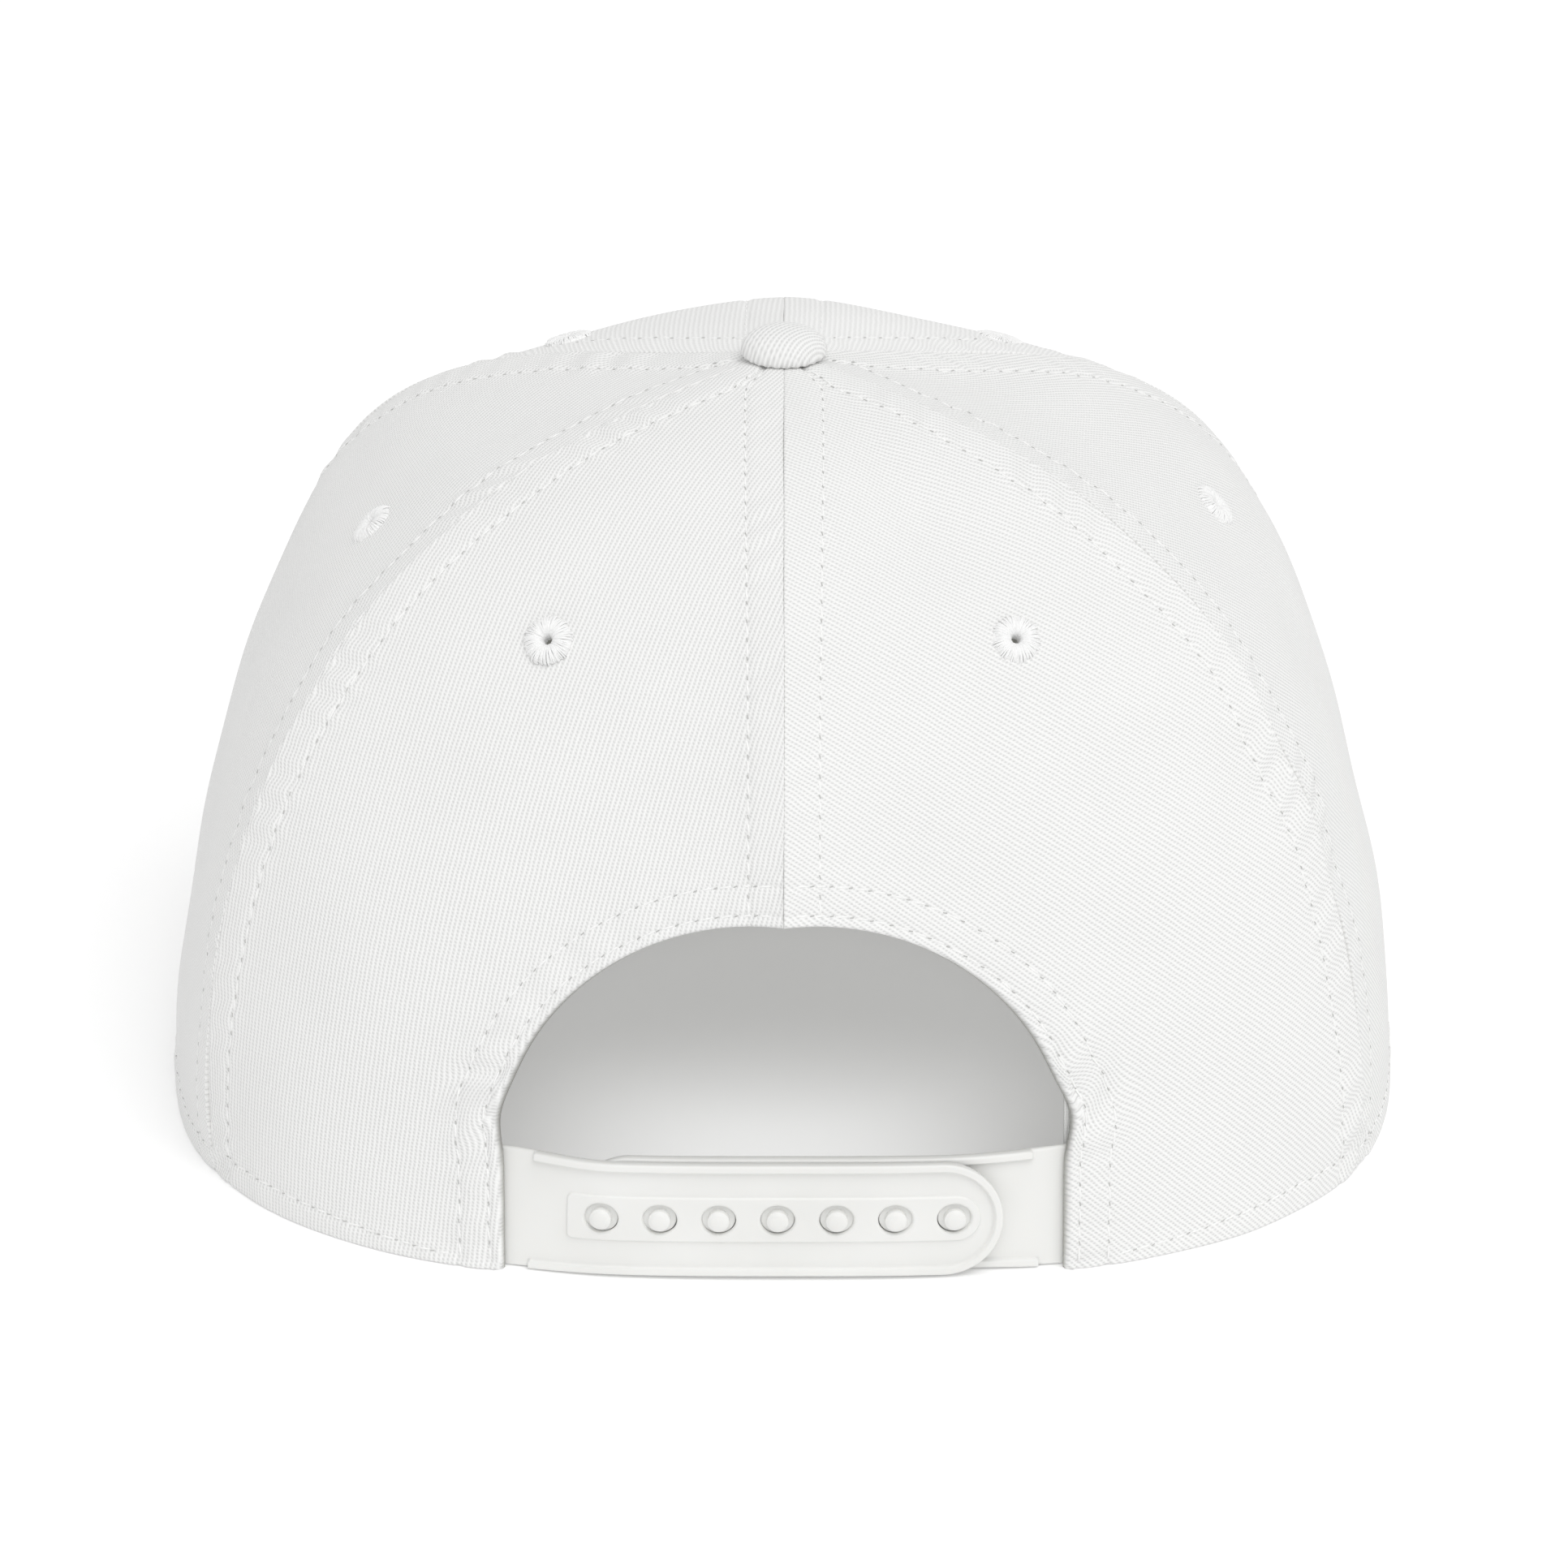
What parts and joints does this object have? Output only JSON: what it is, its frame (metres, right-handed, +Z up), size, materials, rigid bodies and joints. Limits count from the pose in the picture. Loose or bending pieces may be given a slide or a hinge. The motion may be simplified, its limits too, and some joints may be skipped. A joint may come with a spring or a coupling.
{
  "type": "snapback cap",
  "caption": "Structured panelled cap with a flat peak, covered button, embroidered eyelets and a moulded snap strap across the arched opening at the back.",
  "frame": {"origin": "on the floor under the middle of the cap's bounding box", "axes": "+Z up, +Y the back of the cap, +X the wearer's left"},
  "size_m": [0.2006, 0.2424, 0.1229],
  "materials": {
    "crown_twill": "woven cotton twill, matt",
    "peak_twill": "woven cotton twill over a stiff board, stitched in rows",
    "button_twill": "woven cotton twill, matt",
    "eyelet_thread": "embroidery thread, slightly shiny",
    "sweatband_tape": "plain woven cotton",
    "strap_plastic": "moulded, satin"
  },
  "bodies": {
    "root": {"back_panel_left": "crown_twill", "back_panel_right": "crown_twill", "side_panel_left": "crown_twill", "side_panel_right": "crown_twill", "front_panel_left": "crown_twill", "front_panel_right": "crown_twill", "eyelet_back_left": "eyelet_thread", "eyelet_back_right": "eyelet_thread", "eyelet_side_left": "eyelet_thread", "eyelet_side_right": "eyelet_thread", "eyelet_front_left": "eyelet_thread", "eyelet_front_right": "eyelet_thread", "top_button": "button_twill", "peak": "peak_twill", "sweatband": "sweatband_tape", "hole_strap": "strap_plastic", "peg_strap": "strap_plastic"}
  },
  "joints": []
}
